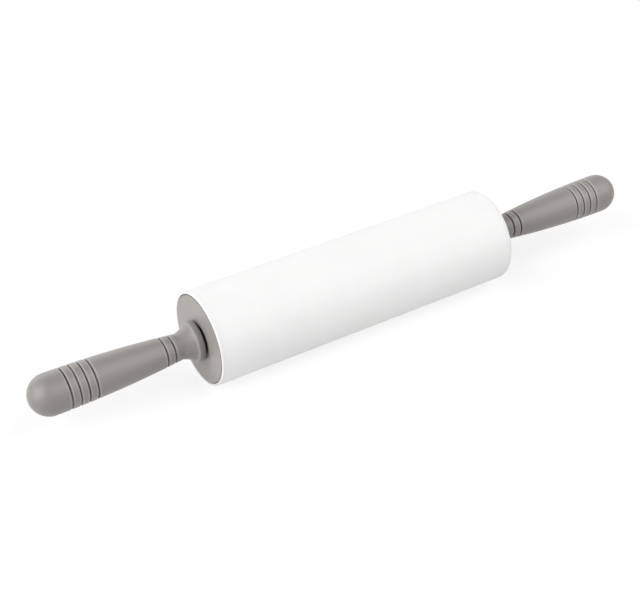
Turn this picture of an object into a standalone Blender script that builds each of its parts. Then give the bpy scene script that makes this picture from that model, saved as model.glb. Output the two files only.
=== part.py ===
"""Silicone rolling pin: a free-turning barrel on a through rod, with a fixed handle at each end.

The pin lies along X. The left end is -X, the right end is +X, and +Z is up. The origin is under
the middle of the barrel, on the surface that the barrel rests on. All sizes are in metres.

Two groups turn against each other about the rod: the barrel with its discs, plugs and bushes, and
the rod with everything that is clamped to it. Stations along the pin are measured from the middle
of the barrel outwards, and each end is the mirror image of the other.
"""
import math

import bmesh
import bpy
from mathutils import Matrix

# Barrel: a silicone sleeve on a plastic tube
BARREL_RADIUS = 0.0300
BARREL_LENGTH = 0.2130
SLEEVE_WALL = 0.0025
SLEEVE_LIP = 0.0015          # thickness of silicone left around each end disc
SLEEVE_EDGE_LENGTH = 0.0013  # how far along the barrel its rounded edge reaches
TUBE_WALL = 0.0030

# End discs, the grey covers of the barrel
DISC_THICKNESS = 0.0025
DISC_EDGE = 0.0004
DISC_SPIGOT_WALL = 0.0018
DISC_SPIGOT_LENGTH = 0.0040

# Hub plugs, which carry the bushes inside the tube
PLUG_DEPTH = 0.0150
PLUG_WALL = 0.0020
PLUG_FLANGE_THICKNESS = 0.0015
PLUG_WEB_THICKNESS = 0.0025
BOSS_WALL = 0.0030
RIB_COUNT = 6
RIB_THICKNESS = 0.0016
RIB_ROOT = 0.0005            # how far a rib is buried in the walls that it joins
RIB_DROP = 0.0010            # how far a rib stays short of the disc's spigot

# Bushes, the plain bearings
BUSH_WALL = 0.0024
BUSH_LENGTH = 0.0140
BUSH_FLANGE_WIDTH = 0.0045
BUSH_FLANGE_THICKNESS = 0.0015

# Through rod with its threaded ends
ROD_RADIUS = 0.0040
THREAD_RADIUS = 0.0030
ROD_CHAMFER = 0.0005
ROD_PROJECTION = 0.0030      # how far the rod stands out of its nuts
SHOULDER_SETBACK = 0.0010    # how far the thread starts inside the grip's bore

# Thrust washers and retaining rings beside the barrel
THRUST_WASHER_THICKNESS = 0.0022
THRUST_WASHER_WIDTH = 0.0040
RING_THICKNESS = 0.0010
RING_WIDTH = 0.0029
RING_GROOVE_DEPTH = 0.0005
RING_MOUTH = math.radians(60)

# Handles
COLLAR_STANDOFF = 0.0019     # the dark gap between a collar and its disc
COLLAR_RADIUS = 0.0128
COLLAR_LENGTH = 0.0030
COLLAR_EDGE = 0.0003         # chamfer on the side that faces the disc
LIP_RADIUS = 0.0012          # rounding between the collar's rim and its flare
FLARE_POWER = 1.6            # shape of the flare: 1 is an ellipse, 2 is a straight cone
HANDLE_LENGTH = 0.1071
GRIP_RADIUS = 0.0128
NECK_RADIUS = 0.0081
NECK_STATION = 0.0118        # from the collar's face to the thinnest point
CAP_LENGTH = 0.0221          # from the cap's joint to the tip
SOCKET_RADIUS = 0.0086
SOCKET_DEPTH = 0.0234        # from the cap's joint to the nut's seat
CAP_SPIGOT_LENGTH = 0.0080
CAP_WALL = 0.0022

# Turned grooves in the handles
GROOVE_WIDTH = 0.0016
GROOVE_DEPTH = 0.0010
GROOVE_PITCH = 0.00546
NECK_GROOVE_STATION = 0.0172
NECK_GROOVES = 2
CAP_GROOVES = 4              # the outermost of these is the cap's joint

# Nuts and their washers
CLAMP_WASHER_THICKNESS = 0.0016
CLAMP_WASHER_MARGIN = 0.0005
NUT_ACROSS_FLATS = 0.0100
NUT_HEIGHT = 0.0060
NUT_CHAMFER = 0.0006

# Clearances
FIT_GAP = 0.0002             # between pieces that are fixed to each other
RUNNING_GAP = 0.00008        # around the rod in its bushes
THRUST_GAP = 0.0001          # end float of the barrel at each side
MERGE = 0.000001

# Facets around the turned pieces
BARREL_FACETS = 48           # sleeve and discs
CORE_FACETS = 24             # tube and plugs, out of sight
HANDLE_FACETS = 32
SHAFT_FACETS = 24
SLEEVE_EDGE_STEPS = 4
LIP_STEPS = 3
FLARE_STEPS = 5
GRIP_STEPS = 5
DOME_STEPS = 7
HOLLOW_STEPS = 3


def inside(radius, facets):
    """The largest circle inside a bore that is turned with this many facets."""
    return radius * math.cos(math.pi / facets)


def around(radius, facets):
    """The radius of a faceted bore that clears a circle of the given radius."""
    return radius / math.cos(math.pi / facets)


# The barrel rests on one of its facets, so the axis is a little lower than the barrel's radius.
AXIS_HEIGHT = inside(BARREL_RADIUS, BARREL_FACETS)

# Radii, from the barrel inwards
SLEEVE_BORE = BARREL_RADIUS - SLEEVE_WALL
TUBE_RADIUS = inside(SLEEVE_BORE, BARREL_FACETS) - FIT_GAP
TUBE_BORE = TUBE_RADIUS - TUBE_WALL
PLUG_RADIUS = TUBE_BORE - FIT_GAP
PLUG_BORE = PLUG_RADIUS - PLUG_WALL
LIP_BORE = BARREL_RADIUS - SLEEVE_LIP
DISC_RADIUS = LIP_BORE - FIT_GAP
DISC_SPIGOT_RADIUS = inside(PLUG_BORE, CORE_FACETS) - FIT_GAP

# Radii, from the rod outwards
BUSH_BORE = around(ROD_RADIUS + RUNNING_GAP, SHAFT_FACETS)
BUSH_RADIUS = BUSH_BORE + BUSH_WALL
BUSH_FLANGE_RADIUS = BUSH_RADIUS + BUSH_FLANGE_WIDTH
BOSS_BORE = around(BUSH_RADIUS + FIT_GAP, CORE_FACETS)
BOSS_RADIUS = BOSS_BORE + BOSS_WALL
DISC_BORE = around(BUSH_FLANGE_RADIUS + FIT_GAP, BARREL_FACETS)
WASHER_BORE = around(ROD_RADIUS + FIT_GAP, SHAFT_FACETS)
RING_SEAT_RADIUS = ROD_RADIUS - RING_GROOVE_DEPTH
RING_BORE = around(RING_SEAT_RADIUS + FIT_GAP, SHAFT_FACETS)
RING_RADIUS = RING_BORE + RING_WIDTH
RING_POCKET = around(RING_RADIUS + FIT_GAP, HANDLE_FACETS)
GRIP_BORE = around(ROD_RADIUS + FIT_GAP, HANDLE_FACETS)
THREAD_BORE = around(THREAD_RADIUS + FIT_GAP, SHAFT_FACETS)

# Stations along the pin, from the middle outwards
BARREL_END = BARREL_LENGTH / 2
DISC_BACK = BARREL_END - DISC_THICKNESS
PLUG_FACE = DISC_BACK - FIT_GAP
FLANGE_BACK = PLUG_FACE - PLUG_FLANGE_THICKNESS
TUBE_END = FLANGE_BACK - FIT_GAP
BUSH_FACE = DISC_BACK + BUSH_FLANGE_THICKNESS
THRUST_WASHER_BACK = BUSH_FACE + THRUST_GAP
RING_BACK = THRUST_WASHER_BACK + THRUST_WASHER_THICKNESS + FIT_GAP
COLLAR_FACE = BARREL_END + COLLAR_STANDOFF
RING_SEAT = RING_BACK + RING_THICKNESS + FIT_GAP
CAP_JOINT = COLLAR_FACE + HANDLE_LENGTH - CAP_LENGTH
NUT_SEAT = CAP_JOINT - SOCKET_DEPTH
CLAMP_WASHER_BACK = NUT_SEAT + FIT_GAP
NUT_BACK = CLAMP_WASHER_BACK + CLAMP_WASHER_THICKNESS + FIT_GAP
ROD_END = NUT_BACK + NUT_HEIGHT + ROD_PROJECTION
SHOULDER = NUT_SEAT - SHOULDER_SETBACK
TIP = COLLAR_FACE + HANDLE_LENGTH
DOME_START = TIP - GRIP_RADIUS

SIDES = (("left", -1), ("right", 1))

for old_object in list(bpy.data.objects):
    bpy.data.objects.remove(old_object, do_unlink=True)


def make_material(name, color, roughness, metallic=0.0):
    """A Principled material with one colour, roughness and metallic value."""
    material = bpy.data.materials.new(name)
    material.use_nodes = True
    shader = material.node_tree.nodes["Principled BSDF"]
    shader.inputs["Base Color"].default_value = (*color, 1.0)
    shader.inputs["Roughness"].default_value = roughness
    shader.inputs["Metallic"].default_value = metallic
    return material


SILICONE = make_material("white_silicone", (0.88, 0.88, 0.87), 0.55)
GREY_PLASTIC = make_material("warm_grey_plastic", (0.31, 0.29, 0.275), 0.45)
CORE_PLASTIC = make_material("natural_plastic", (0.75, 0.75, 0.72), 0.5)
ACETAL = make_material("black_acetal", (0.03, 0.03, 0.03), 0.35)
NYLON = make_material("black_nylon", (0.03, 0.03, 0.03), 0.5)
ROD_STEEL = make_material("ground_steel", (0.62, 0.62, 0.61), 0.25, 1.0)
SPRING_STEEL = make_material("spring_steel", (0.25, 0.25, 0.26), 0.35, 1.0)
ZINC_STEEL = make_material("zinc_plated_steel", (0.66, 0.67, 0.68), 0.35, 1.0)


def make_axis(name):
    """An empty on the pin's axis, which its group of pieces is parented to."""
    axis = bpy.data.objects.new(name, None)
    axis.location = (0.0, 0.0, AXIS_HEIGHT)
    bpy.context.scene.collection.objects.link(axis)
    return axis


BARREL_GROUP = make_axis("barrel_axis")
HANDLE_GROUP = make_axis("handle_axis")


def add_object(name, mesh_builder, material, group, station=0.0):
    """Turn a finished bmesh into an object that sits on the axis at its station along X."""
    bmesh.ops.recalc_face_normals(mesh_builder, faces=mesh_builder.faces)
    mesh = bpy.data.meshes.new(name)
    mesh_builder.to_mesh(mesh)
    mesh_builder.free()
    mesh.materials.append(material)
    mesh.shade_smooth()
    mesh.set_sharp_from_angle(angle=math.radians(30))
    piece = bpy.data.objects.new(name, mesh)
    piece.parent = group
    piece.location = (station, 0.0, 0.0)
    bpy.context.scene.collection.objects.link(piece)
    return piece


def spin_profile(profile, facets, direction=1, angle=2 * math.pi):
    """Spin (x, radius) points about X. A facet, not a corner, faces straight down.

    Points run round a closed loop, or from one point on the axis to another. direction -1 turns
    the profile round for the left end. An angle under a full turn gets a flat face at each end.
    """
    start = math.pi / facets
    builder = bmesh.new()
    points = [
        builder.verts.new((direction * x, radius * math.sin(start), -radius * math.cos(start)))
        for x, radius in profile
    ]
    chain = list(zip(points, points[1:]))
    if profile[0][1] > 0.0:
        chain.append((points[-1], points[0]))
    edges = [builder.edges.new(pair) for pair in chain]
    swept = bmesh.ops.spin(
        builder, geom=points + edges, cent=(0, 0, 0), axis=(1, 0, 0), angle=angle,
        steps=round(facets * angle / (2 * math.pi)), use_duplicate=False,
    )
    if angle < 2 * math.pi:
        last_points = [item for item in swept["geom_last"] if isinstance(item, bmesh.types.BMVert)]
        builder.faces.new(points)
        builder.faces.new(last_points)
    bmesh.ops.remove_doubles(builder, verts=builder.verts, dist=MERGE)
    return builder


def add_turned(name, profile, facets, material, group, station=0.0, direction=1):
    """A turned piece, its profile measured outwards from its own station."""
    builder = spin_profile(profile, facets, direction)
    return add_object(name, builder, material, group, direction * station)


def ring_profile(length, bore, radius):
    """The four corners of a plain ring's section."""
    return [(0.0, bore), (0.0, radius), (length, radius), (length, bore)]


def use_boolean(piece, tool, operation):
    """Add a live EXACT Boolean and keep its tool out of the finished model."""
    tool.hide_render = True
    tool.display_type = "WIRE"
    modifier = piece.modifiers.new(operation.lower(), "BOOLEAN")
    modifier.operation = operation
    modifier.solver = "EXACT"
    modifier.object = tool


def add_sleeve():
    """The silicone sleeve: rounded edges, and a rebate at each end that the disc sits in."""
    drop = [math.pi / 2 * step / SLEEVE_EDGE_STEPS for step in range(SLEEVE_EDGE_STEPS + 1)]
    edge_start = BARREL_END - SLEEVE_EDGE_LENGTH
    right_end = [
        (edge_start + SLEEVE_EDGE_LENGTH * math.sin(a), LIP_BORE + SLEEVE_LIP * math.cos(a))
        for a in drop
    ]
    right_end += [(PLUG_FACE, LIP_BORE), (PLUG_FACE, SLEEVE_BORE)]
    left_end = [(-x, radius) for x, radius in reversed(right_end)]
    add_turned("silicone_sleeve", left_end + right_end, BARREL_FACETS, SILICONE, BARREL_GROUP)


def add_tube():
    """The plain plastic tube inside the sleeve."""
    profile = ring_profile(2 * TUBE_END, TUBE_BORE, TUBE_RADIUS)
    add_turned("core_tube", profile, CORE_FACETS, CORE_PLASTIC, BARREL_GROUP, -TUBE_END)


def add_hub_plug(side, direction):
    """A cup pressed into the tube's end: flange, wall, web and a ribbed boss for the bush."""
    web_back = FLANGE_BACK - PLUG_DEPTH
    web_front = web_back + PLUG_WEB_THICKNESS
    profile = [
        (web_back, BOSS_BORE),
        (web_back, PLUG_RADIUS),
        (FLANGE_BACK, PLUG_RADIUS),
        (FLANGE_BACK, TUBE_RADIUS),
        (PLUG_FACE, TUBE_RADIUS),
        (PLUG_FACE, PLUG_BORE),
        (web_front, PLUG_BORE),
        (web_front, BOSS_RADIUS),
        (PLUG_FACE, BOSS_RADIUS),
        (PLUG_FACE, BOSS_BORE),
    ]
    local = [(x - web_back, radius) for x, radius in profile]
    plug = add_turned("hub_plug_" + side, local, CORE_FACETS, CORE_PLASTIC, BARREL_GROUP,
                      web_back, direction)
    rib_back = web_front - RIB_ROOT
    rib_front = DISC_BACK - DISC_SPIGOT_LENGTH - RIB_DROP
    inner = BOSS_RADIUS - RIB_ROOT
    outer = PLUG_BORE + RIB_ROOT
    builder = bmesh.new()
    for index in range(RIB_COUNT):
        turn = Matrix.Rotation(2 * math.pi * index / RIB_COUNT, 4, "X")
        centre = ((rib_back + rib_front) / 2 - web_back, 0.0, (inner + outer) / 2)
        size = (rib_front - rib_back, RIB_THICKNESS, outer - inner)
        place = turn @ Matrix.Translation((direction * centre[0], centre[1], centre[2]))
        scale = Matrix.Diagonal((*size, 1.0))
        bmesh.ops.create_cube(builder, size=1.0, matrix=place @ scale)
    ribs = add_object("rib_tool_" + side, builder, CORE_PLASTIC, BARREL_GROUP,
                      direction * web_back)
    use_boolean(plug, ribs, "UNION")


def add_end_disc(side, direction):
    """The grey cover: a flat disc flush with the silicone, with a spigot into the plug."""
    spigot_bore = DISC_SPIGOT_RADIUS - DISC_SPIGOT_WALL
    profile = [
        (0.0, DISC_BORE),
        (0.0, spigot_bore),
        (-DISC_SPIGOT_LENGTH, spigot_bore),
        (-DISC_SPIGOT_LENGTH, DISC_SPIGOT_RADIUS),
        (0.0, DISC_SPIGOT_RADIUS),
        (0.0, DISC_RADIUS),
        (DISC_THICKNESS - DISC_EDGE, DISC_RADIUS),
        (DISC_THICKNESS, DISC_RADIUS - DISC_EDGE),
        (DISC_THICKNESS, DISC_BORE),
    ]
    add_turned("end_disc_" + side, profile, BARREL_FACETS, GREY_PLASTIC, BARREL_GROUP,
               DISC_BACK, direction)


def add_bush(side, direction):
    """The flanged plain bearing that the rod runs in."""
    profile = [
        (-BUSH_LENGTH, BUSH_BORE),
        (-BUSH_LENGTH, BUSH_RADIUS),
        (0.0, BUSH_RADIUS),
        (0.0, BUSH_FLANGE_RADIUS),
        (BUSH_FLANGE_THICKNESS, BUSH_FLANGE_RADIUS),
        (BUSH_FLANGE_THICKNESS, BUSH_BORE),
    ]
    add_turned("bush_" + side, profile, SHAFT_FACETS, ACETAL, BARREL_GROUP, DISC_BACK, direction)


def add_rod():
    """The through rod: a ring groove beside each end of the barrel and a threaded stub beyond."""
    groove_slack = FIT_GAP / 2
    right_half = [
        (RING_BACK - groove_slack, ROD_RADIUS),
        (RING_BACK - groove_slack, RING_SEAT_RADIUS),
        (RING_BACK + RING_THICKNESS + groove_slack, RING_SEAT_RADIUS),
        (RING_BACK + RING_THICKNESS + groove_slack, ROD_RADIUS),
        (SHOULDER, ROD_RADIUS),
        (SHOULDER, THREAD_RADIUS),
        (ROD_END - ROD_CHAMFER, THREAD_RADIUS),
        (ROD_END, THREAD_RADIUS - ROD_CHAMFER),
        (ROD_END, 0.0),
    ]
    left_half = [(-x, radius) for x, radius in reversed(right_half)]
    add_turned("axle_rod", left_half + right_half, SHAFT_FACETS, ROD_STEEL, HANDLE_GROUP)


def add_thrust_washer(side, direction):
    """The nylon washer that the bush's flange runs against."""
    outer = WASHER_BORE + THRUST_WASHER_WIDTH
    profile = ring_profile(THRUST_WASHER_THICKNESS, WASHER_BORE, outer)
    add_turned("thrust_washer_" + side, profile, SHAFT_FACETS, NYLON, HANDLE_GROUP,
               THRUST_WASHER_BACK, direction)


def add_retaining_ring(side, direction):
    """The open spring ring in the rod's groove, which the handle is clamped up to."""
    profile = ring_profile(RING_THICKNESS, RING_BORE, RING_RADIUS)
    builder = spin_profile(profile, SHAFT_FACETS, direction, 2 * math.pi - RING_MOUTH)
    add_object("retaining_ring_" + side, builder, SPRING_STEEL, HANDLE_GROUP,
               direction * RING_BACK)


def grip_radius_at(station):
    """The grip swells from its neck to the dome along a parabola that is level at the dome."""
    neck = COLLAR_FACE + NECK_STATION
    share = (DOME_START - min(station, DOME_START)) / (DOME_START - neck)
    return GRIP_RADIUS - (GRIP_RADIUS - NECK_RADIUS) * share ** 2


def groove_outline(centre):
    """The four corners of one turned groove, its floor half as wide as its mouth."""
    mouth = GROOVE_WIDTH / 2
    floor = GROOVE_WIDTH / 4
    bottom = grip_radius_at(centre) - GROOVE_DEPTH
    return [
        (centre - mouth, grip_radius_at(centre - mouth)),
        (centre - floor, bottom),
        (centre + floor, bottom),
        (centre + mouth, grip_radius_at(centre + mouth)),
    ]


def collar_outline():
    """The collar's rim, a round lip, then a flare: a quarter of a superellipse down to the neck."""
    rim_end = COLLAR_FACE + COLLAR_LENGTH
    flare_start = rim_end + LIP_RADIUS
    flare_radius = COLLAR_RADIUS - LIP_RADIUS
    neck = COLLAR_FACE + NECK_STATION
    outline = [
        (COLLAR_FACE, COLLAR_RADIUS - COLLAR_EDGE),
        (COLLAR_FACE + COLLAR_EDGE, COLLAR_RADIUS),
    ]
    for step in range(LIP_STEPS):
        angle = math.pi / 2 * step / LIP_STEPS
        outline.append((
            rim_end + LIP_RADIUS * math.sin(angle),
            flare_radius + LIP_RADIUS * math.cos(angle),
        ))
    for step in range(FLARE_STEPS + 1):
        angle = math.pi / 2 * step / FLARE_STEPS
        outline.append((
            neck - (neck - flare_start) * math.cos(angle) ** FLARE_POWER,
            flare_radius - (flare_radius - NECK_RADIUS) * math.sin(angle) ** FLARE_POWER,
        ))
    return outline


def add_grip(side, direction):
    """The handle: collar, flare, grooved grip, a bore for the rod and a socket for its nut."""
    outline = collar_outline()
    for index in range(NECK_GROOVES):
        outline += groove_outline(COLLAR_FACE + NECK_GROOVE_STATION + index * GROOVE_PITCH)
    cap_grooves = [CAP_JOINT - index * GROOVE_PITCH for index in range(CAP_GROOVES - 1, 0, -1)]
    smooth_start = outline[-1][0]
    smooth_length = cap_grooves[0] - GROOVE_WIDTH / 2 - smooth_start
    for step in range(1, GRIP_STEPS):
        station = smooth_start + smooth_length * step / GRIP_STEPS
        outline.append((station, grip_radius_at(station)))
    for centre in cap_grooves:
        outline += groove_outline(centre)
    joint = groove_outline(CAP_JOINT)
    end_face = CAP_JOINT - FIT_GAP / 2
    outline += [
        joint[0],
        joint[1],
        (end_face, joint[1][1]),
        (end_face, SOCKET_RADIUS),
        (NUT_SEAT, SOCKET_RADIUS),
        (NUT_SEAT, GRIP_BORE),
        (RING_SEAT, GRIP_BORE),
        (RING_SEAT, RING_POCKET),
        (COLLAR_FACE, RING_POCKET),
    ]
    local = [(x - COLLAR_FACE, radius) for x, radius in outline]
    add_turned("grip_" + side, local, HANDLE_FACETS, GREY_PLASTIC, HANDLE_GROUP,
               COLLAR_FACE, direction)


def add_handle_cap(side, direction):
    """The domed cap: its edge is the outer half of the last groove, its spigot is hollow."""
    joint = groove_outline(CAP_JOINT)
    end_face = CAP_JOINT + FIT_GAP / 2
    spigot_end = end_face - CAP_SPIGOT_LENGTH
    spigot_radius = SOCKET_RADIUS - FIT_GAP
    bore = spigot_radius - CAP_WALL
    quarter = [math.pi / 2 * step / DOME_STEPS for step in range(DOME_STEPS + 1)]
    dome = [
        (DOME_START + GRIP_RADIUS * math.cos(a), GRIP_RADIUS * math.sin(a)) for a in quarter
    ]
    hollow_turns = [math.pi / 2 * step / HOLLOW_STEPS for step in range(HOLLOW_STEPS + 1)]
    hollow = [(DOME_START + bore * math.cos(a), bore * math.sin(a)) for a in hollow_turns]
    outline = dome + [
        joint[3],
        joint[2],
        (end_face, joint[2][1]),
        (end_face, spigot_radius),
        (spigot_end, spigot_radius),
        (spigot_end, bore),
    ] + hollow[::-1]
    outline[0] = (outline[0][0], 0.0)
    outline[-1] = (outline[-1][0], 0.0)
    local = [(x - CAP_JOINT, radius) for x, radius in outline]
    add_turned("handle_cap_" + side, local, HANDLE_FACETS, GREY_PLASTIC, HANDLE_GROUP,
               CAP_JOINT, direction)


def add_clamp_washer(side, direction):
    """The steel washer that spreads the nut's load on the grip's seat."""
    profile = ring_profile(CLAMP_WASHER_THICKNESS, THREAD_BORE,
                           SOCKET_RADIUS - CLAMP_WASHER_MARGIN)
    add_turned("clamp_washer_" + side, profile, SHAFT_FACETS, ZINC_STEEL, HANDLE_GROUP,
               CLAMP_WASHER_BACK, direction)


def add_lock_nut(side, direction):
    """A hexagon nut, its corners chamfered at both ends and its bore cut out."""
    corner_radius = NUT_ACROSS_FLATS / 2 / math.cos(math.pi / 6)
    hexagon = [
        (0.0, 0.0),
        (0.0, corner_radius - NUT_CHAMFER),
        (NUT_CHAMFER, corner_radius),
        (NUT_HEIGHT - NUT_CHAMFER, corner_radius),
        (NUT_HEIGHT, corner_radius - NUT_CHAMFER),
        (NUT_HEIGHT, 0.0),
    ]
    nut = add_turned("lock_nut_" + side, hexagon, 6, ZINC_STEEL, HANDLE_GROUP, NUT_BACK,
                     direction)
    bore = [
        (-FIT_GAP, 0.0),
        (-FIT_GAP, THREAD_BORE),
        (NUT_HEIGHT + FIT_GAP, THREAD_BORE),
        (NUT_HEIGHT + FIT_GAP, 0.0),
    ]
    tool = add_turned("nut_bore_tool_" + side, bore, SHAFT_FACETS, ZINC_STEEL, HANDLE_GROUP,
                      NUT_BACK, direction)
    use_boolean(nut, tool, "DIFFERENCE")


add_sleeve()
add_tube()
add_rod()
for side_name, side_direction in SIDES:
    add_hub_plug(side_name, side_direction)
    add_end_disc(side_name, side_direction)
    add_bush(side_name, side_direction)
    add_thrust_washer(side_name, side_direction)
    add_retaining_ring(side_name, side_direction)
    add_grip(side_name, side_direction)
    add_handle_cap(side_name, side_direction)
    add_clamp_washer(side_name, side_direction)
    add_lock_nut(side_name, side_direction)
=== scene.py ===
# %% [markdown]
# # A silicone rolling pin
#
# The pin is a white silicone barrel that spins on a steel rod, with a fixed grey handle at each
# end. The frame that is loaded here already holds every piece at its real size, but with few
# faces. This notebook gives the pin its looks: the pieces that show get fine surfaces, and every
# piece gets its finish. All lengths are in metres.
#
# Everything on a rolling pin is turned about one line, so nearly every shape below is the same
# idea: a profile, drawn as distance along the pin against radius, carried round the axis.

import bmesh
import bpy
import numpy as np
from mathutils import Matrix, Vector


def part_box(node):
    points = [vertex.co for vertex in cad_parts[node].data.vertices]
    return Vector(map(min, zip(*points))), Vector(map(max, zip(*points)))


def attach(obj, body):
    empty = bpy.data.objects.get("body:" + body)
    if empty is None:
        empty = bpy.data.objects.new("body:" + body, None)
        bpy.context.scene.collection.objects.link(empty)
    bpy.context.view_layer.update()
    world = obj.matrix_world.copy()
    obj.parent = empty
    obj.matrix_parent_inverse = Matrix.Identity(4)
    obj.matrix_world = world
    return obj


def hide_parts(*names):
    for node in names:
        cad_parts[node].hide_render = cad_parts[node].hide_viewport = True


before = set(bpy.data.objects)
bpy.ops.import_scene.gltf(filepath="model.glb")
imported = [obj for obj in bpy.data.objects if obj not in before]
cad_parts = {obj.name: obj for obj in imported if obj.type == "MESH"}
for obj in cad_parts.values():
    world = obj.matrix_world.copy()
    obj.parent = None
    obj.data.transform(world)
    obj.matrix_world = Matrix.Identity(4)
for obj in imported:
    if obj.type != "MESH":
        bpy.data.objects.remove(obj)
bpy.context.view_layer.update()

# %% [markdown]
# ## Sizes
#
# A fine piece has to sit exactly where its coarse one does, so its stations along the pin are read
# from the boxes of the pieces in the frame. What a box can't tell, such as the width of a groove
# or the wall of a sleeve, is written once as a real size, just before it is used.

# %% Sizes from the frame
SIDES = ("left", "right")
FIT_GAP = 0.0002             # what fixed pieces keep between them

sleeve_low, sleeve_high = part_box("silicone_sleeve")
AXIS = (sleeve_low[2] + sleeve_high[2]) / 2
BARREL_RADIUS = (sleeve_high[2] - sleeve_low[2]) / 2
BARREL_END = sleeve_high[0]
PLUG_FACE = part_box("hub_plug_right")[1][0]
RING_BACK, RING_FRONT = (corner[0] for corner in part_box("retaining_ring_right"))
COLLAR_FACE, GRIP_END = (corner[0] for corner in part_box("grip_right"))
NUT_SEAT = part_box("clamp_washer_right")[0][0] - FIT_GAP
ROD_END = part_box("axle_rod")[1][0]
CAP_FOOT, TIP = (corner[0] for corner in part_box("handle_cap_right"))
print("axis height:", round(AXIS, 6), "barrel end:", round(BARREL_END, 4), "tip:", round(TIP, 4))

# %% [markdown]
# ## Profiles
#
# A profile is a list of points (station, radius). Straight runs need points too, or the surface
# would be made of long slivers. Corners are short arcs: a moulded edge is never quite sharp, and
# the thin bright line along it is what tells the eye how big the thing is.
#
# Each profile is drawn so that the outer surface is walked towards +X and the bore back towards
# -X. Then every face of the swept surface points outwards by itself.


# %% Points along a profile
# Metres from point to point on a straight run, and steps along an arc.
FINE, PLAIN, WIDE = 0.001, 0.002, 0.004
SMALL_ARC, PLAIN_ARC, ROUND_ARC, LONG_ARC = 6, 8, 16, 40
SAME_POINT = 1e-8            # points that are nearer than this count as one


def run(start, end, spacing=PLAIN):
    """Points on the straight line start + t (end - start), with t from 0 to 1."""
    start, end = np.array(start), np.array(end)
    count = max(1, int(np.ceil(np.linalg.norm(end - start) / spacing)))
    share = np.linspace(0.0, 1.0, count + 1)[:, None]
    return start + share * (end - start)


def bend(centre, along, across, first, last, count=PLAIN_ARC, power=1.0):
    """Points on an arc: centre + (along cos a, across sin a), a from first to last degrees.

    A power other than 1, for a quarter arc, raises the cosine and sine to it: a superellipse.
    """
    angle = np.radians(np.linspace(first, last, count + 1))
    turn = np.column_stack((np.cos(angle), np.sin(angle)))
    if power != 1.0:
        turn = np.clip(turn, 0.0, 1.0) ** power
    return np.array(centre) + turn * (along, across)


def chain(*stretches):
    """The stretches of a profile end to end, without the points that repeat their neighbour."""
    points = np.vstack(stretches)
    step = np.linalg.norm(np.diff(points, axis=0), axis=1)
    return points[np.concatenate(([True], step > SAME_POINT))]


def corners(*points, spacing=PLAIN):
    """Straight runs from each point to the next."""
    return chain(*(run(start, end, spacing) for start, end in zip(points, points[1:])))


def for_side(profile, side):
    """The right-hand profile, or for the left end its mirror image walked the same way round."""
    return profile if side == "right" else profile[::-1] * (-1, 1)


# %% [markdown]
# ## Carrying a profile round the axis
#
# Blender's Screw modifier or bmesh's spin could do this. Worked out with numpy, the surface is one
# line of arithmetic on a grid whose rows follow the profile and whose columns go round the pin.
# The same grid gives an exact UV map, with U as the share of a turn and V in metres along the
# profile.


# %% Lathe
MERGE_REACH = 1e-7           # how near the points of a pole lie
SHARP_ANGLE = 40             # degrees between two faces, from which their edge is crisp


def lathe(name, profile, columns, relief=None, painted_shading=None):
    """The surface that a profile sweeps in one turn.

    Point (i, j) is (x_i, r_i sin a_j, AXIS + r_i cos a_j), with a_j = 2 pi j / columns. A relief
    is a depth that depends on the station and the share of a turn, and is taken off the radius.
    A profile with no point on the axis is closed by joining its last row to its first. On the
    axis a whole row lies on one spot, and there its points are merged into a pole. The last
    argument, one number for each point of the profile, is kept with the surface for its finish,
    which paints highlights and shade with it.
    """
    ring = profile[:, 1].min() > 0.0
    station, radius = profile[:, :1], profile[:, 1:]
    turn = np.arange(columns) / columns
    if relief is not None:
        radius = radius - relief(station, turn)
    angle = 2 * np.pi * turn
    grid = np.stack(np.broadcast_arrays(
        station, radius * np.sin(angle), AXIS + radius * np.cos(angle)), axis=-1)

    row = np.arange(len(profile) if ring else len(profile) - 1)[:, None, None]
    column = np.arange(columns)[None, :, None]
    corner_row = row + np.array((0, 1, 1, 0)) + 0 * column
    corner_column = column + np.array((0, 0, 1, 1)) + 0 * row
    faces = corner_row % len(profile) * columns + corner_column % columns

    step = np.linalg.norm(np.diff(profile, axis=0, append=profile[:1]), axis=1)
    along = np.concatenate(([0.0], np.cumsum(step)))
    uv = np.stack((corner_column / columns, along[corner_row]), axis=-1)

    mesh = bpy.data.meshes.new(name)
    mesh.from_pydata(grid.reshape(-1, 3).tolist(), [], faces.reshape(-1, 4).tolist())
    layer = mesh.uv_layers.new(name="UVMap")
    layer.uv.foreach_set("vector", uv.astype(np.float32).ravel())
    if painted_shading is not None:
        marks = mesh.attributes.new("painted_shading", "FLOAT", "POINT")
        marks.data.foreach_set("value", np.repeat(painted_shading, columns).astype(np.float32))
    if not ring:
        close_poles(mesh)
    return add_piece(name, mesh)


def close_poles(mesh):
    """Merge points that lie on one spot, which turns the four-sided faces there into triangles."""
    editor = bmesh.new()
    editor.from_mesh(mesh)
    bmesh.ops.remove_doubles(editor, verts=editor.verts, dist=MERGE_REACH)
    editor.to_mesh(mesh)
    editor.free()


def add_piece(name, mesh):
    """Smooth shading with crisp corners, and an object at the origin to hold the mesh."""
    mesh.shade_smooth()
    mesh.set_sharp_from_angle(angle=np.radians(SHARP_ANGLE))
    piece = bpy.data.objects.new(name, mesh)
    bpy.context.scene.collection.objects.link(piece)
    print(name, len(mesh.vertices), "points,", len(mesh.polygons), "faces")
    return piece


def both_ends(name, profile, columns, painted_shading):
    """The piece at the left end and at the right, swept from the right-hand profile."""
    return {
        side: lathe(name + side, for_side(profile, side), columns,
                    painted_shading=painted_shading if side == "right" else painted_shading[::-1])
        for side in SIDES
    }
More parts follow.
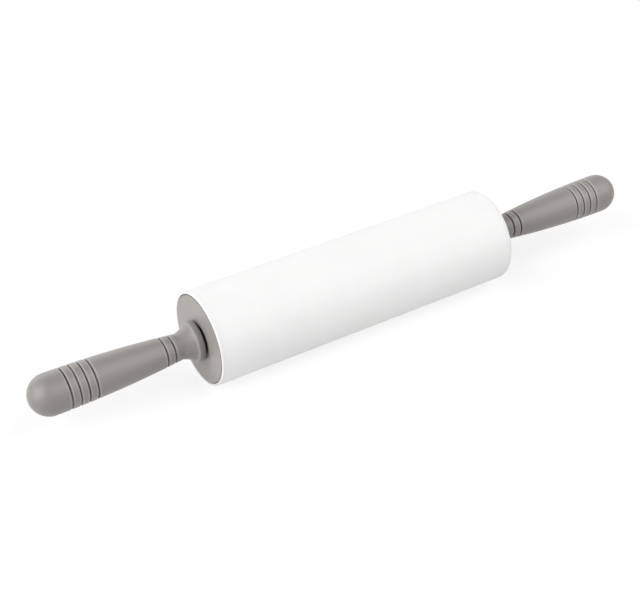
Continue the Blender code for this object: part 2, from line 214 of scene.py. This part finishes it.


# %% [markdown]
# ## The silicone sleeve
#
# The barrel's white skin is a silicone tube, pulled over a stiff core. Its ends are rounded over so
# that they don't mark the dough, and they stand as a soft bright rim round each grey disc. The
# outer corner is a quarter of an ellipse and the inner one, against the disc, a small arc. Each
# end is painted a touch greyer over its last few millimetres, a painted shade for its rounded
# corner. A number that is kept with each point of the profile tells the finish how far.

# %% Sleeve
SLEEVE_WALL = 0.0025
SLEEVE_LIP = 0.0015          # silicone that shows round the disc
SLEEVE_EDGE_LENGTH = 0.0013
SLEEVE_INNER_EDGE = 0.0004
SLEEVE_END_SHADE = 0.006          # how far the painted shade at each end reaches
BARREL_COLUMNS = 288

lip_bore = BARREL_RADIUS - SLEEVE_LIP
sleeve_bore = BARREL_RADIUS - SLEEVE_WALL
edge_foot = lip_bore + SLEEVE_INNER_EDGE
right_end = chain(
    bend((BARREL_END - SLEEVE_EDGE_LENGTH, edge_foot), SLEEVE_EDGE_LENGTH,
         BARREL_RADIUS - edge_foot, 90, 0, ROUND_ARC),
    bend((BARREL_END - SLEEVE_INNER_EDGE, edge_foot), SLEEVE_INNER_EDGE, SLEEVE_INNER_EDGE,
         0, -90, SMALL_ARC),
    corners((BARREL_END - SLEEVE_INNER_EDGE, lip_bore), (PLUG_FACE, lip_bore),
            (PLUG_FACE, sleeve_bore)),
)
left_end = for_side(right_end, "left")
end_shade_foot = np.array((BARREL_END - SLEEVE_END_SHADE, BARREL_RADIUS))
sleeve_profile = chain(
    run(left_end[-1], end_shade_foot * (-1, 1), FINE),
    run(end_shade_foot * (-1, 1), end_shade_foot, WIDE),
    run(end_shade_foot, right_end[0], FINE),
    right_end,
    run(right_end[-1], left_end[0], WIDE),
    left_end[:-1],
)
# painted shade that grows towards each end of the sleeve
end_shade = np.clip(1 - (BARREL_END - np.abs(sleeve_profile[:, 0])) / SLEEVE_END_SHADE, 0.0, 1.0)
sleeve = lathe("sleeve_skin", sleeve_profile, BARREL_COLUMNS, painted_shading=end_shade ** 2)

# %% [markdown]
# ## The end discs
#
# Each disc is an injection-moulded cover, nearly flush with the silicone, with a spigot behind it
# that plugs into the hub. What shows is its flat face, the shadow line where its rounded rim meets
# the silicone, and the dark hole round the axle, which the handle's collar nearly covers. That
# shadow line is also painted: on the rim the number that is kept with each point goes below 0,
# which turns the colour there to a painted shade.

# %% Discs
DISC_THICKNESS = 0.0025
DISC_EDGE = 0.0007
DISC_BORE = 0.0112
DISC_SPIGOT_RADIUS = 0.0216
DISC_SPIGOT_WALL = 0.0018
DISC_SPIGOT_LENGTH = 0.0040
RIM_DARK_FROM = 0.5          # share of the rounding's height, above which the painted shade is full

disc_radius = lip_bore - FIT_GAP
disc_back = BARREL_END - DISC_THICKNESS
spigot_bore = DISC_SPIGOT_RADIUS - DISC_SPIGOT_WALL
spigot_end = disc_back - DISC_SPIGOT_LENGTH
disc_profile = chain(
    corners((disc_back, DISC_BORE), (disc_back, spigot_bore), (spigot_end, spigot_bore),
            (spigot_end, DISC_SPIGOT_RADIUS), (disc_back, DISC_SPIGOT_RADIUS),
            (disc_back, disc_radius), (BARREL_END - DISC_EDGE, disc_radius)),
    bend((BARREL_END - DISC_EDGE, disc_radius - DISC_EDGE), DISC_EDGE, DISC_EDGE, 90, 0),
    corners((BARREL_END, disc_radius - DISC_EDGE), (BARREL_END, DISC_BORE),
            (disc_back, DISC_BORE))[:-1],
)
# painted shade on the disc's rounded rim
rim_share = (disc_profile[:, 1] - (disc_radius - DISC_EDGE)) / DISC_EDGE
disc_rim_shade = -np.clip(rim_share / RIM_DARK_FROM, 0.0, 1.0)
discs = both_ends("disc_cover_", disc_profile, BARREL_COLUMNS, disc_rim_shade)

# %% [markdown]
# ## The handles
#
# A handle is one flowing line from collar to tip: a round lip, a trumpet flare down to the neck, a
# long swell, and a dome. The swell is a parabola that is level where the dome begins, and the flare
# a quarter of a superellipse that is level at the neck, so each runs into the next with no kink.
# A superellipse is an ellipse whose cosine and sine are raised to a power: 1 gives the ellipse, 2 a
# straight cone, and a power in between the full, lazy curve of this flare.
#
# Six grooves are cut into the line. The outermost is where the cap meets the grip, and hides that
# joint.

# %% The flowing line
GRIP_RADIUS = 0.0128
NECK_RADIUS = 0.0081
NECK_STATION = 0.0118        # from the collar's face
SWELL_SPACING = 0.0012

neck = COLLAR_FACE + NECK_STATION
dome_start = TIP - GRIP_RADIUS
print("neck at", round(neck, 4), "and dome from", round(dome_start, 4))


def swell(station):
    """Radius of the grip: full at the dome, less by the square of the way back to the neck."""
    share = (dome_start - np.minimum(station, dome_start)) / (dome_start - neck)
    return GRIP_RADIUS - (GRIP_RADIUS - NECK_RADIUS) * share ** 2


def swell_run(first, last):
    """Points on the grip's surface between two stations."""
    station = np.linspace(first, last, int(np.ceil((last - first) / SWELL_SPACING)) + 1)
    return np.column_stack((station, swell(station)))


# %% [markdown]
# A groove is a narrow slot with bevelled edges and a round floor. It is worked out once, as
# distance from its middle and depth, and then laid into the swell wherever one is needed. From the
# outside in it is the bevel, a straight wall and a quarter of a circle down to the floor. The slot
# is deep enough to stay dark inside, and the bevel that faces the light draws a pale line next to
# it, which is also painted on as a painted highlight further down.

# %% One groove
GROOVE_CORE = 0.0009
GROOVE_DEPTH = 0.0018
BEVEL_WIDTH = 0.0004
BEVEL_DEPTH = 0.0005
WALL_SPACING = 0.0003

half_core = GROOVE_CORE / 2
half_mouth = half_core + BEVEL_WIDTH
half_section = chain(
    corners((half_mouth, 0.0), (half_core, BEVEL_DEPTH), (half_core, GROOVE_DEPTH - half_core),
            spacing=WALL_SPACING),
    bend((0.0, GROOVE_DEPTH - half_core), half_core, half_core, 0, 90),
)
print("a groove is", round(2 * half_mouth, 4), "wide and", GROOVE_DEPTH, "deep")


def groove(centre, halves=(-1, 1)):
    """A groove's points in the swell, or those of one half: -1 towards the barrel, 1 outwards."""
    inner = half_section * (-1, 1)
    outer = half_section[::-1]
    section = np.vstack([{-1: inner, 1: outer}[half] for half in halves])
    station = centre + section[:, 0]
    return np.column_stack((station, swell(station) - section[:, 1]))


# %% [markdown]
# The edges of the grooves and the collar's lip get a painted highlight, a paler colour, as the
# sleeve's ends get their painted grey, from a number that is kept with each point of the profile.
# The inner wall of each groove gets the same painted highlight, and its outer wall a painted
# shade that keeps the line dark. The number is below 0 there, as it is on the rims of the discs.

# %% Painted highlights and shade, and the grooves
HIGHLIGHT_REACH = 0.0006           # how far the painted highlight reaches from a groove's mouth
DEPTH_SLACK = 0.00006        # a point this little past the bevel or the floor is still on it
# strength of the painted highlight on the collar's lip
LIP_HIGHLIGHT = 0.35
LIP_REACH = 2                # where the lip's painted highlight ends, in radii of the lip


def groove_light_and_shade(profile, groove_centres):
    """Painted highlight of 1 on a groove's bevels and inner wall, painted shade of -1 on its outer
    wall, and down to 0 beside it.
    """
    station, radius = np.abs(profile[:, 0]), profile[:, 1]
    past = station[:, None] - groove_centres
    past = past[np.arange(len(past)), np.abs(past).argmin(axis=1)]
    away = np.abs(past) - half_mouth
    depth = swell(station) - radius
    in_slot = ((away < 0) & (depth > BEVEL_DEPTH + DEPTH_SLACK)
               & (depth < GROOVE_DEPTH + DEPTH_SLACK))
    slot_light_and_shade = np.where(past > 0, -1.0, 1.0)
    return np.where(in_slot, slot_light_and_shade, np.clip(1 - away / HIGHLIGHT_REACH, 0.0, 1.0))


# %% [markdown]
# The collar's face stands nearly two millimetres off the disc. That gap is the darkest line on the
# whole pin. The collar's own edge is a band of plain cylinder, and the flare leaves it over a small
# round lip, which catches the light and gets a painted highlight, so it is the brightest line on
# the handle.

# %% Grips
COLLAR_RADIUS = 0.0128
COLLAR_LENGTH = 0.0030
COLLAR_EDGE = 0.0003
LIP_RADIUS = 0.0012
FLARE_POWER = 1.6
SOCKET_RADIUS = 0.0086
ROD_HOLE = 0.0043
RING_POCKET = 0.0069
GROOVE_PITCH = 0.00546
NECK_GROOVE_STATION = 0.0172
NECK_GROOVES = 2
CAP_GROOVES = 3              # besides the joint
HANDLE_COLUMNS = 192

cap_joint = GRIP_END + FIT_GAP / 2
lip_station = COLLAR_FACE + COLLAR_LENGTH
flare_foot = COLLAR_RADIUS - LIP_RADIUS
collar = chain(
    run((COLLAR_FACE, RING_POCKET), (COLLAR_FACE, COLLAR_RADIUS - COLLAR_EDGE)),
    bend((COLLAR_FACE + COLLAR_EDGE, COLLAR_RADIUS - COLLAR_EDGE), COLLAR_EDGE, COLLAR_EDGE,
         180, 90),
    run((COLLAR_FACE + COLLAR_EDGE, COLLAR_RADIUS), (lip_station, COLLAR_RADIUS), FINE),
    bend((lip_station, flare_foot), LIP_RADIUS, LIP_RADIUS, 90, 0, ROUND_ARC),
    bend((neck, flare_foot), lip_station + LIP_RADIUS - neck, NECK_RADIUS - flare_foot,
         0, 90, LONG_ARC, FLARE_POWER),
)
centres = np.concatenate((
    COLLAR_FACE + NECK_GROOVE_STATION + GROOVE_PITCH * np.arange(NECK_GROOVES),
    cap_joint - GROOVE_PITCH * np.arange(CAP_GROOVES, 0, -1),
))
run_starts = np.concatenate(([neck], centres + half_mouth))
run_ends = np.concatenate((centres, [cap_joint])) - half_mouth
grip_surface = [swell_run(neck, run_ends[0])]
for centre, first, last in zip(centres, run_starts[1:], run_ends[1:]):
    grip_surface += [groove(centre), swell_run(first, last)]
joint_half = groove(cap_joint, (-1,))
joint_half = joint_half[joint_half[:, 0] < GRIP_END]
ring_seat = RING_FRONT + FIT_GAP
grip_profile = chain(
    collar,
    *grip_surface,
    joint_half,
    corners((GRIP_END, joint_half[-1, 1]), (GRIP_END, SOCKET_RADIUS), (NUT_SEAT, SOCKET_RADIUS),
            (NUT_SEAT, ROD_HOLE)),
    run((NUT_SEAT, ROD_HOLE), (ring_seat, ROD_HOLE), WIDE),
    corners((ring_seat, ROD_HOLE), (ring_seat, RING_POCKET), (COLLAR_FACE, RING_POCKET))[:-1],
)
# painted highlight on the collar's lip, and painted highlight and shade in the grooves
lip_place = np.array((lip_station + LIP_RADIUS / 2, COLLAR_RADIUS))
lip_away = np.linalg.norm(grip_profile - lip_place, axis=1)
lip_highlight = LIP_HIGHLIGHT * np.clip(LIP_REACH - lip_away / LIP_RADIUS, 0.0, 1.0)
grip_light_and_shade = lip_highlight + groove_light_and_shade(grip_profile, np.append(centres, cap_joint))
grips = both_ends("grip_shell_", grip_profile, HANDLE_COLUMNS, grip_light_and_shade)

# %% [markdown]
# The cap is the dome and the last stretch of the swell, on a hollow spigot that plugs the nut's
# socket. Its profile starts and ends on the axis: once inside, at the hollow's crown, and once
# outside, at the tip.

# %% Caps
CAP_WALL = 0.0022

cap_face = cap_joint + FIT_GAP / 2
spigot_radius = SOCKET_RADIUS - FIT_GAP
hollow_radius = spigot_radius - CAP_WALL
outer_half = groove(cap_joint, (1,))
outer_half = outer_half[outer_half[:, 0] > cap_face]
cap_profile = chain(
    bend((dome_start, 0.0), hollow_radius, hollow_radius, 0, 90, ROUND_ARC),
    corners((dome_start, hollow_radius), (CAP_FOOT, hollow_radius), (CAP_FOOT, spigot_radius),
            (cap_face, spigot_radius), (cap_face, outer_half[0, 1])),
    outer_half,
    swell_run(cap_joint + half_mouth, dome_start),
    bend((dome_start, 0.0), GRIP_RADIUS, GRIP_RADIUS, 90, 0, LONG_ARC),
)
cap_profile[[0, -1], 1] = 0.0
# painted highlight and painted shade at the joint groove
cap_light_and_shade = groove_light_and_shade(cap_profile, np.array([cap_joint]))
caps = both_ends("cap_dome_", cap_profile, HANDLE_COLUMNS, cap_light_and_shade)

# %% [markdown]
# ## The rod
#
# The steel rod runs through the whole pin. A snap ring sits in a groove beside each end of the
# barrel, and a nut draws each handle up to its ring, on a thread at the rod's end. Nobody sees the
# thread until a cap is pulled, but it is what the handle hangs on, so it is a real helix: the
# lathe's relief is a wave that climbs one pitch in each turn, with a narrow flat on its crest and
# in its root. It fades in over the first pitch and out over the last one.

# %% Rod
ROD_RADIUS = 0.0040
ROD_GROOVE_DEPTH = 0.0005
ROD_CHAMFER = 0.0005
THREAD_RADIUS = 0.0030
THREAD_PITCH = 0.0010
THREAD_DEPTH = 0.0006
THREAD_FLAT = 0.1            # share of the wave that is cut off at its crest and at its root
THREAD_BACK = 0.0010         # how far the thread reaches in past the washer under the nut
THREAD_SPACING = 0.0001      # between the rows of points along the thread
ROD_COLUMNS = 64

shoulder = NUT_SEAT - THREAD_BACK
groove_start = RING_BACK - FIT_GAP / 2
groove_end = RING_FRONT + FIT_GAP / 2
groove_floor = ROD_RADIUS - ROD_GROOVE_DEPTH


def thread_relief(station, turn):
    """Depth of the thread: |2 frac(x / pitch + turn) - 1|, its tops and roots clipped flat."""
    wave = np.abs((station / THREAD_PITCH + turn) % 1.0 * 2 - 1)
    ridge = np.clip((wave - THREAD_FLAT) / (1 - 2 * THREAD_FLAT), 0.0, 1.0)
    fade_in = np.clip((np.abs(station) - shoulder) / THREAD_PITCH, 0.0, 1.0)
    fade_out = np.clip((ROD_END - np.abs(station)) / THREAD_PITCH, 0.0, 1.0)
    return THREAD_DEPTH * ridge * fade_in * fade_out


half_rod = chain(
    run((0.0, ROD_RADIUS), (groove_start, ROD_RADIUS), WIDE),
    corners((groove_start, ROD_RADIUS), (groove_start, groove_floor), (groove_end, groove_floor),
            (groove_end, ROD_RADIUS)),
    run((groove_end, ROD_RADIUS), (shoulder, ROD_RADIUS), WIDE),
    run((shoulder, ROD_RADIUS), (shoulder, THREAD_RADIUS)),
    corners((shoulder, THREAD_RADIUS), (ROD_END - ROD_CHAMFER, THREAD_RADIUS),
            (ROD_END, THREAD_RADIUS - ROD_CHAMFER), spacing=THREAD_SPACING),
    run((ROD_END, THREAD_RADIUS - ROD_CHAMFER), (ROD_END, 0.0), FINE),
)
rod_profile = chain(for_side(half_rod, "left"), half_rod)
rod = lathe("threaded_rod", rod_profile, ROD_COLUMNS, thread_relief)

# %% [markdown]
# ## Putting the pieces on their bodies
#
# The pin has two bodies. The barrel turns with its discs, and the rod and the handles stay still in
# the cook's hands. Each new piece rides on its body and stands for the coarse piece that it covers,
# which is hidden.


# %% Put each piece on its body
def place(piece, body, node):
    """Ride on the body and hide the coarse node that this piece stands for."""
    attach(piece, body)
    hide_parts(node)


place(sleeve, "barrel", "silicone_sleeve")
place(rod, "handles", "axle_rod")
for side in SIDES:
    place(discs[side], "barrel", "end_disc_" + side)
    place(grips[side], "handles", "grip_" + side)
    place(caps[side], "handles", "handle_cap_" + side)
print("pieces placed:", len((sleeve, rod, *discs.values(), *grips.values(), *caps.values())))

# %% [markdown]
# ## Finishes
#
# Every finish is a Principled shader with its detail worked out by nodes, in the piece's own
# coordinates, so that it stays put when the barrel turns. A node helper adds a node and wires its
# inputs in one call: a value is written into a socket, another node's output is linked to it.
#
# All the materials on this pin are plain, and differ in the same few ways. Each has soft patches
# where the colour and the gloss drift a little, because no moulding or plating is perfectly even,
# and a fine relief that breaks up the reflections. So one recipe makes them all, and each finish
# below is a set of numbers for it.


# %% Node helpers
def add_node(tree, kind, inputs=(), **settings):
    """A node of this kind, its settings applied and its inputs set or linked."""
    node = tree.nodes.new(kind)
    for key, value in settings.items():
        setattr(node, key, value)
    for key, value in dict(inputs).items():
        if isinstance(value, bpy.types.NodeSocket):
            tree.links.new(value, node.inputs[key])
        else:
            node.inputs[key].default_value = value
    return node


def noise(tree, scale, detail, stretch):
    """Noise from 0 to 1 in the piece's own space. scale is in features per metre."""
    place_on_piece = add_node(tree, "ShaderNodeTexCoord")
    stretched = add_node(tree, "ShaderNodeMapping",
                         {"Vector": place_on_piece.outputs["Object"], "Scale": stretch})
    texture = add_node(tree, "ShaderNodeTexNoise",
                       {"Vector": stretched.outputs["Vector"], "Scale": scale, "Detail": detail})
    return texture.outputs["Fac"]


def mix(tree, share, first, second):
    """The first colour where share is 0 and the second where it is 1."""
    blend = add_node(tree, "ShaderNodeMix", {"Factor": share, "A": first, "B": second},
                     data_type="RGBA")
    return blend.outputs["Result"]


# %% One recipe for all finishes
PATCH_ENDS = (0.3, 0.7)      # the noise seldom leaves this range, so it is spread from end to end
PATCH_DETAIL = 3.0
RELIEF_DETAIL = 2.0
NO_STRETCH = (1.0, 1.0, 1.0)


def spread(tree, patch, low, high):
    """The patch noise spread over its range, from low to high."""
    span = add_node(tree, "ShaderNodeMapRange", {
        "Value": patch, "From Min": PATCH_ENDS[0], "From Max": PATCH_ENDS[1],
        "To Min": low, "To Max": high})
    return span.outputs["Result"]


def make_finish(name, colors, roughness, patches, relief, stretch=NO_STRETCH, painted_plus_color=None,
                painted_shade_color=None, **constants):
    """A Principled material.

    Colour and roughness each go from their first to their second value with a soft noise of so
    many patches a metre. relief is (features a metre, height in metres, strength) of a fine bump.
    The two colours after stretch are painted light. The piece turns towards the first where the
    number kept with each point goes up to 1, which is a painted highlight on the handles and a
    painted shade on the sleeve, and towards the second, a painted shade, where it goes down to -1.
    The constants are the shader's plain numbers, with _ for a space.
    """
    material = bpy.data.materials.new(name)
    material.use_nodes = True
    tree = material.node_tree
    shader = tree.nodes["Principled BSDF"]
    for key, value in constants.items():
        shader.inputs[key.replace("_", " ")].default_value = value

    patch = noise(tree, patches, PATCH_DETAIL, stretch)
    color = mix(tree, spread(tree, patch, 0.0, 1.0), (*colors[0], 1.0), (*colors[1], 1.0))
    # the number kept with each point paints highlights and shade into the colour
    for sign, other in ((1.0, painted_plus_color), (-1.0, painted_shade_color)):
        if other is not None:
            painted_shading = add_node(tree, "ShaderNodeAttribute", attribute_name="painted_shading")
            amount = add_node(tree, "ShaderNodeMath", {0: painted_shading.outputs["Fac"], 1: sign},
                              operation="MULTIPLY", use_clamp=True)
            color = mix(tree, amount.outputs["Value"], color, (*other, 1.0))
    tree.links.new(color, shader.inputs["Base Color"])
    tree.links.new(spread(tree, patch, *roughness), shader.inputs["Roughness"])

    features, height, strength = relief
    bump = add_node(tree, "ShaderNodeBump", {
        "Height": noise(tree, features, RELIEF_DETAIL, stretch), "Distance": height,
        "Strength": strength})
    tree.links.new(bump.outputs["Normal"], shader.inputs["Normal"])
    print("finish:", name)
    return material


# %% [markdown]
# ### Silicone
#
# Silicone rubber is a soft white with a satin skin. Light goes a little way into it, which is why
# its shadows look milky rather than grey, so the shader gets a small share of subsurface
# scattering, reaching about two millimetres. Its gloss is low and slightly patchy, from the mould
# and from hands, and its relief is barely there: dough has to come off it.

# %% Silicone
# the greyer colour is a painted shade at the sleeve's rounded ends
SILICONE = make_finish(
    "white_silicone", colors=((0.875, 0.875, 0.868), (0.895, 0.895, 0.890)),
    roughness=(0.50, 0.60), patches=45, relief=(2600, 0.00003, 0.25),
    painted_plus_color=(0.82, 0.82, 0.815), IOR=1.41, Subsurface_Weight=0.12, Subsurface_Scale=0.002)
sleeve.data.materials.append(SILICONE)

# %% [markdown]
# ### Grey plastic
#
# The handles and their caps are moulded in one warm grey plastic with a fine, even satin texture,
# like the skin of a good kitchen tool. The discs get a paler copy of that grey, which is painted
# light for their faces. On the handles the patches are drawn out lengthwise, as plastic flows in a
# long mould, and on the discs they are round. The handles also take a painted highlight on their
# lip and groove edges and a painted shade in the grooves, and the discs a painted shade on their
# rims.

# %% Grey plastic
GRIP_COLORS = ((0.245, 0.229, 0.214), (0.260, 0.242, 0.227))
# a paler copy of the handles' grey: painted light for the discs' faces
LIT_DISC_COLORS = ((0.295, 0.277, 0.261), (0.313, 0.294, 0.278))

SATIN = dict(roughness=(0.36, 0.44), patches=220, relief=(2400, 0.00003, 0.3), IOR=1.49)

# the paler colour is a painted highlight on lip and groove edges, the darker a painted shade
GRIP_GREY = make_finish(
    "warm_grey_grip", GRIP_COLORS, stretch=(0.08, 1.0, 1.0), painted_plus_color=(0.36, 0.34, 0.32),
    painted_shade_color=(0.12, 0.112, 0.105), Sheen_Weight=0.1, Sheen_Roughness=0.4, **SATIN)
# the darker colour is a painted shade on the discs' rims
DISC_GREY = make_finish("warm_grey_disc", LIT_DISC_COLORS, painted_shade_color=(0.13, 0.12, 0.11), **SATIN)
for side in SIDES:
    discs[side].data.materials.append(DISC_GREY)
    grips[side].data.materials.append(GRIP_GREY)
    caps[side].data.materials.append(GRIP_GREY)

# %% [markdown]
# ### Inner plastics
#
# Inside the barrel nothing has to look good, so the parts show their plain materials. The tube and
# the hub plugs are natural polypropylene, a milky off-white that light sinks into. The bushes are
# black acetal, hard and slick, and the thrust washers black nylon, which is duller.

# %% Inner plastics
CORE_PLASTIC = make_finish(
    "natural_plastic", colors=((0.72, 0.72, 0.69), (0.78, 0.78, 0.75)),
    roughness=(0.42, 0.55), patches=90, relief=(1800, 0.00003, 0.3), IOR=1.49,
    Subsurface_Weight=0.25, Subsurface_Scale=0.003)
ACETAL = make_finish(
    "black_acetal", colors=((0.026, 0.026, 0.026), (0.034, 0.034, 0.034)),
    roughness=(0.25, 0.34), patches=160, relief=(1500, 0.00002, 0.2), IOR=1.48)
NYLON = make_finish(
    "black_nylon", colors=((0.026, 0.026, 0.026), (0.036, 0.035, 0.034)),
    roughness=(0.45, 0.58), patches=300, relief=(3200, 0.00004, 0.4), IOR=1.53)

# %% [markdown]
# ### Metals
#
# A metal's colour is the colour of its reflection, so Metallic is 1 and the base colour is bright.
# The rod is ground while it spins, which leaves fine lines round it: its noise is squeezed
# lengthwise, so that it changes quickly along the rod and hardly at all around it. The snap rings
# are spring steel with a dark phosphate coat, mottled and dull. The nuts and their washers are
# zinc plated, a cool bright grey with faint clouds.

# %% Metals
ROD_STEEL = make_finish(
    "ground_steel", colors=((0.58, 0.58, 0.57), (0.66, 0.66, 0.65)),
    roughness=(0.20, 0.32), patches=60, relief=(700, 0.00001, 0.5),
    stretch=(12.0, 0.4, 0.4), Metallic=1.0)
SPRING_STEEL = make_finish(
    "phosphated_steel", colors=((0.20, 0.20, 0.21), (0.30, 0.30, 0.31)),
    roughness=(0.32, 0.50), patches=900, relief=(4000, 0.00002, 0.4), Metallic=1.0)
ZINC_STEEL = make_finish(
    "zinc_plated_steel", colors=((0.62, 0.64, 0.67), (0.70, 0.70, 0.69)),
    roughness=(0.28, 0.42), patches=420, relief=(3000, 0.00001, 0.3), Metallic=1.0)
rod.data.materials.append(ROD_STEEL)

# %% [markdown]
# The pieces whose coarse shape is already right keep it, and get their finish in the material
# slots of their objects, which leaves their meshes alone.

# %% Finish the pieces that stay
NODE_FINISHES = {
    "core_tube": CORE_PLASTIC,
    "hub_plug": CORE_PLASTIC,
    "bush": ACETAL,
    "thrust_washer": NYLON,
    "retaining_ring": SPRING_STEEL,
    "clamp_washer": ZINC_STEEL,
    "lock_nut": ZINC_STEEL,
}
for kind, finish in NODE_FINISHES.items():
    kept = [node for name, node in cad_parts.items() if name.startswith(kind)]
    for node in kept:
        for slot in node.material_slots:
            slot.link = "OBJECT"
            slot.material = finish
    print(kind, len(kept), "of", finish.name)

# %% [markdown]
# ## The floor
#
# The pin lies on plain white, with only a faint soft shadow under the barrel. A floor that is
# simply painted white would either go grey away from the lamps or need so much light that the
# barrel burned out. So this floor treats rays in two ways. To the camera, or in a reflection, it
# is a card that glows by itself and takes only a quarter of the lamp light, which keeps the shadow
# and makes it faint. To the light that bounces on to the pin it is an ordinary pale floor.


# %% Floor
def shown_share(tree):
    """1 for a ray that the camera sends, also by way of a mirror or glass, and 0 for the rest."""
    path = add_node(tree, "ShaderNodeLightPath")
    share = path.outputs["Is Camera Ray"]
    for kind in ("Is Glossy Ray", "Is Transmission Ray"):
        either = add_node(tree, "ShaderNodeMath", {0: share, 1: path.outputs[kind]},
                          operation="MAXIMUM")
        share = either.outputs["Value"]
    return share


def grey(level):
    """A neutral colour: the same level in red, green and blue."""
    return (level, level, level, 1.0)


FLOOR_REACH = 6.0            # from the middle to each side
FLOOR_GLOW = 0.78            # what the card shines with by itself
SHADOW_SHARE = 0.25          # of the lamp light that the card takes
FLOOR_PALE = 0.8             # of the light that is sent back on to the pin


def make_floor():
    """One large square face and its material."""
    square = np.array(((-1, -1, 0), (1, -1, 0), (1, 1, 0), (-1, 1, 0))) * FLOOR_REACH
    mesh = bpy.data.meshes.new("floor")
    mesh.from_pydata(square.tolist(), [], [(0, 1, 2, 3)])
    floor = bpy.data.objects.new("floor", mesh)
    bpy.context.scene.collection.objects.link(floor)
    material = bpy.data.materials.new("floor_white")
    material.use_nodes = True
    tree = material.node_tree
    tree.nodes.clear()
    pale = add_node(tree, "ShaderNodeBsdfDiffuse", {"Color": grey(FLOOR_PALE)})
    faint = add_node(tree, "ShaderNodeBsdfDiffuse", {"Color": grey(SHADOW_SHARE)})
    glow = add_node(tree, "ShaderNodeEmission", {"Strength": FLOOR_GLOW})
    card = add_node(tree, "ShaderNodeAddShader",
                    {0: faint.outputs["BSDF"], 1: glow.outputs["Emission"]})
    both = add_node(tree, "ShaderNodeMixShader", {
        0: shown_share(tree), 1: pale.outputs["BSDF"], 2: card.outputs["Shader"]})
    add_node(tree, "ShaderNodeOutputMaterial", {"Surface": both.outputs["Shader"]})
    mesh.materials.append(material)
    print("floor:", 2 * FLOOR_REACH, "metres square")


make_floor()

# %% [markdown]
# ## World and lamps
#
# The world is white wherever it is looked at, for the background and the reflections, and gives
# only a little even light besides. The real light is three large soft lamps. A sun lamp with a wide
# angle acts like a big far softbox, and a plain number says how strong it is: its share is how
# white it turns a white card that faces it. A card that lies flat gets about 1 from the three
# together, so that each colour looks about as it is written.
#
# The strong lamp stands low at the left end, so that the near disc and dome take it full on and
# each groove keeps a dark side. A weaker one stands a little higher at the right, in front, and a
# faint one low behind lightens the barrel's upper edge.

# %% World
WHITE = grey(1.0)
AMBIENT = 0.01               # strength of the even light, where 1 is white


def make_world():
    """White to the camera and in reflections, faint light for everything else."""
    world = bpy.data.worlds.new("white_studio")
    bpy.context.scene.world = world
    world.use_nodes = True
    tree = world.node_tree
    tree.nodes.clear()
    light = add_node(tree, "ShaderNodeBackground", {"Color": WHITE, "Strength": AMBIENT})
    white = add_node(tree, "ShaderNodeBackground", {"Color": WHITE, "Strength": 1.0})
    both = add_node(tree, "ShaderNodeMixShader", {
        0: shown_share(tree), 1: light.outputs["Background"], 2: white.outputs["Background"]})
    add_node(tree, "ShaderNodeOutputWorld", {"Surface": both.outputs["Shader"]})
    print("world:", world.name)


make_world()

# %% Lamps
LAMPS = {                    # azimuth, elevation, share, width in degrees
    "left": (-90, 32, 1.01, 60),
    "right": (50, 40, 0.63, 60),
    "back": (180, 20, 0.30, 60),
}


def make_lamp(name, azimuth, elevation, share, width):
    """A far soft lamp. Azimuth 0 shines from the front, 90 from the right-hand end."""
    lamp = bpy.data.lights.new(name, "SUN")
    lamp.energy = np.pi * share
    lamp.angle = np.radians(width)
    stand = bpy.data.objects.new(name, lamp)
    stand.rotation_euler = (np.radians(90 - elevation), 0.0, np.radians(azimuth))
    bpy.context.scene.collection.objects.link(stand)


for lamp_name, lamp_facts in LAMPS.items():
    make_lamp(lamp_name, *lamp_facts)
    print("lamp:", lamp_name, lamp_facts)

# %% [markdown]
# ## Camera
#
# The camera looks down on the near handle from the left. Its angles, distance and lens were fitted
# to the places of the twelve grooves, the near disc and the barrel's outline. The pin's middle lies
# a little to the right of and above the middle of the picture, so the camera aims a little left of
# and below the axis.

# %% Camera
CAMERA_AZIMUTH = -31.94
CAMERA_ELEVATION = 36.65
CAMERA_DISTANCE = 0.8938
CAMERA_LENS = 79.88
CAMERA_SENSOR = 36.0
AIM_LEFT = 0.01797
AIM_DOWN = 0.01437

camera = bpy.data.cameras.new("camera")
camera.lens = CAMERA_LENS
camera.sensor_width = CAMERA_SENSOR
camera_stand = bpy.data.objects.new("camera", camera)
camera_stand.rotation_euler = (
    np.radians(90 - CAMERA_ELEVATION), 0.0, np.radians(CAMERA_AZIMUTH))
right, up, back = np.array(camera_stand.rotation_euler.to_matrix()).T
camera_stand.location = (
    np.array((0.0, 0.0, AXIS)) - AIM_LEFT * right - AIM_DOWN * up + CAMERA_DISTANCE * back)
bpy.context.scene.collection.objects.link(camera_stand)
bpy.context.scene.camera = camera_stand
bpy.context.scene.view_settings.view_transform = "Standard"
print("camera at", np.round(camera_stand.location, 3))
